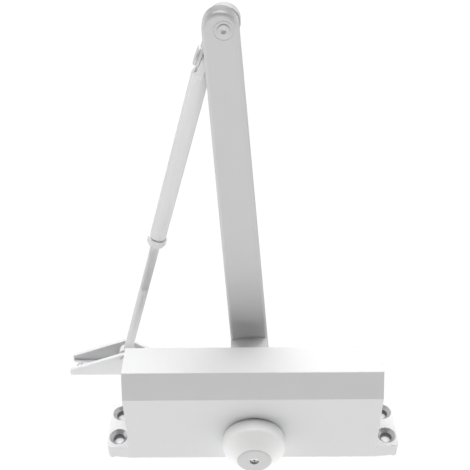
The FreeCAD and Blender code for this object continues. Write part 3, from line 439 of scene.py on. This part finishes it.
# Painted shade: the end face's colour is darkened, so it looks a little darker than the dome
FACE_PAINTED_SHADE, FACE_SHADE_FROM, FACE_SHADE_TO = 0.7, 0.0003, 0.0009
cap_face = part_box("pinion_cap")[0].y
tree, shader, coat, place = opened(cap_plastic)
depth = node(tree, "SeparateXYZ")
face_shade_ramp = span(tree, cap_face + FACE_SHADE_FROM, cap_face + FACE_SHADE_TO, FACE_PAINTED_SHADE, 1.0)
face_shaded = node(tree, "VectorMath", operation="SCALE")
wire(
    tree,
    (place.outputs["Object"], depth.inputs[0]),
    (depth.outputs["Y"], face_shade_ramp.inputs["Value"]),
    (coat.outputs["Color"], face_shaded.inputs[0]),
    (face_shade_ramp.outputs["Result"], face_shaded.inputs["Scale"]),
    (face_shaded.outputs[0], shader.inputs["Base Color"]),
)
dress(cap_plastic, "pinion_cap")

zinc_plate = finished_with(
    "zinc_plate",
    worked_metal,
    {"Metal": (0.66, 0.67, 0.68, 1), "Line Spacing": (900.0, 2600.0, 900.0), "Gloss Base": 0.3},
    Metallic=1.0,
)
dress(zinc_plate, "arm_screw", "arm_washer")

# The screw's head is a low dome. Its cross recess has sloping walls and a round middle.
SCREW_SIDES, HEAD_ROWS, TIP_SHARE = 96, 26, 0.004
SCREW_HEAD, SCREW_SHANK, HEAD_HEIGHT, DOME_FALL = 0.0026, 0.0015, 0.0019, 0.0004
ARM_OF_CROSS, CROSS_HALF_WIDTH, CROSS_DEPTH = 0.0017, 0.00042, 0.0011
WIDTH_SLOPE, END_SLOPE = 0.00022, 0.0003
MIDDLE_RADIUS, MIDDLE_SLOPE = 0.00085, 0.0002
low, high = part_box("cap_screw")
head_top = high.y - low.y
underside = head_top - HEAD_HEIGHT
rings = [circle(SCREW_SHANK, SCREW_SIDES, z) for z in (0.0, underside)]
rows = [SCREW_HEAD * (1 - k / HEAD_ROWS) for k in range(HEAD_ROWS)]
for row, radius in enumerate([SCREW_HEAD] * 2 + rows + [SCREW_HEAD * TIP_SHARE]):
    ring = []
    for x, y, _ in circle(radius, SCREW_SIDES):
        crown = underside if row == 0 else head_top - DOME_FALL * (radius / SCREW_HEAD) ** 2
        narrow, broad = min(abs(x), abs(y)), max(abs(x), abs(y))
        slot = clamped((CROSS_HALF_WIDTH - narrow) / WIDTH_SLOPE)
        slot *= clamped((ARM_OF_CROSS - broad) / END_SLOPE)
        middle = clamped((MIDDLE_RADIUS - radius) / MIDDLE_SLOPE)
        crown -= CROSS_DEPTH * max(slot, middle) if row > 1 else 0
        ring.append((x, y, crown))
    rings.append(ring)
cap_screw_head = skinned("cross_head_screw", rings, closed_ends=True)
screw_place = frame_on(((low.x + high.x) / 2, high.y, (low.z + high.z) / 2), (0, -1, 0))
settle(cap_screw_head, screw_place, zinc_plate, "spindle")
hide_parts("cap_screw")

# --------------------------------------------------------------------------------------------------
# Main arm and elbow: steel channel pressed from sheet, its hub welded on, with a riveted knuckle at
# the far end. They are painted white together, with a smoother film than the casting's; their white
# is set darker than the forearm's same paint, as painted shade.

arm_paint = finished_with(
    "arm_paint",
    powder_coat,
    {"Paint": (0.61, 0.61, 0.615, 1), "Peels per Metre": 1100.0, "Peel Depth": 0.00003, "Gloss Base": 0.36},
    Coat_Weight=0.15,
    Coat_Roughness=0.25,
)
dress(arm_paint, "arm_hub", "elbow_rivet", "elbow_knuckle", "elbow_pin")

# The arm's rounded end is linished, so grinding lines follow its rim and show through the thin paint.
# Where that rim faces up, its colour is also darkened as painted shade.
SCRATCH_AND_SHADE_DARK, SCRATCH_AND_SHADE_LIGHT, LINISHED_FADE = 0.48, 0.72, 0.004
elbow_z = joints["elbow"]["pos_m"][2]
linished_paint = arm_paint.copy()
linished_paint.name = "linished_paint"
tree, shader, coat, place = opened(linished_paint)
spread = node(tree, "VectorMath", {1: (160, 2600, 160)}, operation="MULTIPLY")
scratches = node(tree, "TexNoise", {"Scale": 1.0, "Detail": 3.0, "Roughness": 0.6})
scratch_and_shade = span(tree, 0.38, 0.62, SCRATCH_AND_SHADE_DARK, SCRATCH_AND_SHADE_LIGHT)
height = node(tree, "SeparateXYZ")
facing = node(tree, "SeparateXYZ")
near_end = span(tree, elbow_z, elbow_z + LINISHED_FADE)
# Painted shade: the rim's colour darkens where its normal points up, in place of less light falling there
up_facing_shade = span(tree, 0.35, 0.85)
rim_shade_mask = node(tree, "Math", operation="MULTIPLY")
rim_painted_shade = node(tree, "Mix", {2: 1.0}, data_type="FLOAT")
rimmed = node(tree, "VectorMath", operation="SCALE")
wire(
    tree,
    (place.outputs["Object"], spread.inputs[0]),
    (spread.outputs[0], scratches.inputs["Vector"]),
    (scratches.outputs["Fac"], scratch_and_shade.inputs["Value"]),
    (place.outputs["Object"], height.inputs[0]),
    (height.outputs["Z"], near_end.inputs["Value"]),
    (place.outputs["Normal"], facing.inputs[0]),
    (facing.outputs["Z"], up_facing_shade.inputs["Value"]),
    (near_end.outputs["Result"], rim_shade_mask.inputs[0]),
    (up_facing_shade.outputs["Result"], rim_shade_mask.inputs[1]),
    (rim_shade_mask.outputs[0], rim_painted_shade.inputs[0]),
    (scratch_and_shade.outputs["Result"], rim_painted_shade.inputs[3]),
    (coat.outputs["Color"], rimmed.inputs[0]),
    (rim_painted_shade.outputs[0], rimmed.inputs["Scale"]),
    (rimmed.outputs[0], shader.inputs["Base Color"]),
)
dress(linished_paint, "main_arm")

# --------------------------------------------------------------------------------------------------
# Forearm: a drawn tube flattened to a tongue, with a lock nut and a threaded rod that sets its
# length. The rod's thread is rolled, so its crests stand level with the plain shank.

forearm_paint = finished_with(
    "forearm_paint",
    powder_coat,
    {"Paint": (0.75, 0.75, 0.755, 1), "Peels per Metre": 1100.0, "Peel Depth": 0.00003, "Gloss Base": 0.34},
    Coat_Weight=0.15,
    Coat_Roughness=0.25,
)
dress(forearm_paint, "forearm_tube", "lock_nut")

ROD_RADIUS, THREAD_PITCH, THREAD_DEPTH = 0.003, 0.001, 0.0003
THREAD_START, ROD_END, CREST_GAP = 0.067, 0.1692, 0.00003
ROD_SIDES, ROWS_PER_PITCH, RUN_OUT_ROWS = 40, 10, 12
GROOVE_SLOPE, CREST_SHARE = 2.6, 0.25
EYE_RADIUS, EYE_HALF, EYE_HOLE, EYE_ROUND = 0.0057, 0.0032, 0.00255, 0.0009
EYE_SIDES, CORNER_STEPS = 72, 6
eye_centre = Vector(joints["shoe_pivot"]["pos_m"])
cross_pin = Vector(joints["forearm_tilt"]["pos_m"])

# The plain shank swells a little into its eye: distances from the eye's centre, with radii
shank = [
    (0.003, 0.0034),
    (0.0045, 0.0034),
    (0.009, 0.00322),
    (0.0135, ROD_RADIUS),
    (THREAD_START - 0.0008, ROD_RADIUS),
]
rings = [circle(radius, ROD_SIDES, z) for z, radius in shank]
rows = int((ROD_END - THREAD_START) / THREAD_PITCH * ROWS_PER_PITCH)
for row in range(rows + 1):
    z = THREAD_START + row * THREAD_PITCH / ROWS_PER_PITCH
    run_out = min(1.0, row / RUN_OUT_ROWS, (rows - row) / RUN_OUT_ROWS)
    ring = []
    for k in range(ROD_SIDES):
        angle = k * math.tau / ROD_SIDES
        turn = (z / THREAD_PITCH - k / ROD_SIDES) % 1.0
        groove = clamped((0.5 - abs(turn - 0.5)) * GROOVE_SLOPE - CREST_SHARE)
        radius = ROD_RADIUS - CREST_GAP - THREAD_DEPTH * groove * run_out
        ring.append((radius * math.cos(angle), radius * math.sin(angle), z))
    rings.append(ring)
threaded_rod = skinned("threaded_rod", rings, closed_ends=True)
settle(threaded_rod, frame_on(eye_centre, cross_pin - eye_centre), forearm_paint, "rod")

# The eye is a ring with rounded corners, smaller at its hole than at its rim
eye_section = []
for corner_r, corner_z, start in (
    (EYE_HOLE + EYE_ROUND / 2, EYE_HALF - EYE_ROUND / 2, 180),
    (EYE_RADIUS - EYE_ROUND, EYE_HALF - EYE_ROUND, 90),
    (EYE_RADIUS - EYE_ROUND, -EYE_HALF + EYE_ROUND, 0),
    (EYE_HOLE + EYE_ROUND / 2, -EYE_HALF + EYE_ROUND / 2, -90),
):
    size = EYE_ROUND / 2 if corner_r < EYE_HOLE + EYE_ROUND else EYE_ROUND
    for k in range(CORNER_STEPS + 1):
        angle = math.radians(start - 90 * k / CORNER_STEPS)
        eye_section.append((corner_r + size * math.cos(angle), corner_z + size * math.sin(angle)))
rings = [circle(radius, EYE_SIDES, z) for radius, z in eye_section + eye_section[:1]]
rod_eye = skinned("rod_eye", rings)
settle(rod_eye, frame_on(eye_centre, joints["shoe_pivot"]["axis"]), forearm_paint, "rod")
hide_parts("adjusting_rod")

# --------------------------------------------------------------------------------------------------
# Fixing shoe: folded from one piece of steel sheet, with a riveted pin through its two cheeks.

dress(forearm_paint, "shoe", "shoe_pin")

# --------------------------------------------------------------------------------------------------
# Studio: plain white all round, so the arm stays in sight where it swings past the mounting plane.
# White light rises from below, most of it in front. Soft lamps light the top, both sides and the
# lower front.

BELOW_FRONT, BELOW_REAR, ABOVE = 1.55, 0.5, 0.05
BACKDROP_WHITE = 1.03
world = bpy.data.worlds.new("studio_air")
bpy.context.scene.world = world
world.use_nodes = True
sky = world.node_tree
backdrop = sky.nodes["Background"]
backdrop.inputs["Color"].default_value = (1, 1, 1, 1)
way = node(sky, "TexCoord")
heading = node(sky, "SeparateXYZ")
below = span(sky, -0.05, 0.05, 1.0, 0.0)
glow = span(sky, -0.5, 0.5, BELOW_FRONT, BELOW_REAR)
rising = node(sky, "Math", {2: ABOVE}, operation="MULTIPLY_ADD")
seen = node(sky, "LightPath")
strength = node(sky, "Mix", {3: BACKDROP_WHITE}, data_type="FLOAT")
wire(
    sky,
    (way.outputs["Generated"], heading.inputs[0]),
    (heading.outputs["Z"], below.inputs["Value"]),
    (heading.outputs["Y"], glow.inputs["Value"]),
    (below.outputs["Result"], rising.inputs[0]),
    (glow.outputs["Result"], rising.inputs[1]),
    (seen.outputs["Is Camera Ray"], strength.inputs[0]),
    (rising.outputs[0], strength.inputs[2]),
    (strength.outputs[0], backdrop.inputs["Strength"]),
)


def soft_light(name, place, aim, size, power):
    """A rectangular lamp that faces its aim and isn't seen itself."""
    lamp = bpy.data.lights.new(name, "AREA")
    lamp.shape = "RECTANGLE"
    lamp.size, lamp.size_y = size
    lamp.energy = power
    made = bpy.data.objects.new(name, lamp)
    bpy.context.scene.collection.objects.link(made)
    made.location = place
    made.rotation_euler = (Vector(aim) - Vector(place)).to_track_quat("-Z", "Y").to_euler()
    made.visible_camera = False


soft_light("overhead", (0.0, 1.0, 2.2), (0, 0, 0.05), (2.0, 2.0), 85.0)
soft_light("left_wall", (-2.0, 0.1, 0.5), (0, 0, 0.12), (1.6, 1.6), 14.0)
soft_light("right_wall", (2.0, 0.2, 0.6), (0, 0, 0.1), (1.6, 1.6), 10.0)
soft_light("low_front", (0.0, -0.45, 0.06), (0.0, 0, 0.02), (0.5, 0.1), 0.15)

AZIMUTH, TILT, ROLL = math.radians(-0.7), math.radians(37.5), math.radians(-0.9)
CAMERA_PLACE, LENS, SENSOR_WIDTH = (-0.0053, -0.3244, 0.4157), 58.94, 36
ahead = Vector(
    (math.sin(AZIMUTH) * math.cos(TILT), math.cos(AZIMUTH) * math.cos(TILT), -math.sin(TILT))
)
level = Vector((math.cos(AZIMUTH), -math.sin(AZIMUTH), 0))
over = level.cross(ahead)
right = math.cos(ROLL) * level + math.sin(ROLL) * over
up = -math.sin(ROLL) * level + math.cos(ROLL) * over
camera_data = bpy.data.cameras.new("camera")
camera_data.sensor_width = SENSOR_WIDTH
camera_data.lens = LENS
camera = bpy.data.objects.new("camera", camera_data)
bpy.context.scene.collection.objects.link(camera)
turned = Matrix((right, up, -ahead)).transposed().to_4x4()
camera.matrix_world = Matrix.Translation(CAMERA_PLACE) @ turned
bpy.context.scene.camera = camera
bpy.context.scene.view_settings.view_transform = "Standard"

# --------------------------------------------------------------------------------------------------
# Bring the scene up to date

bpy.context.view_layer.update()
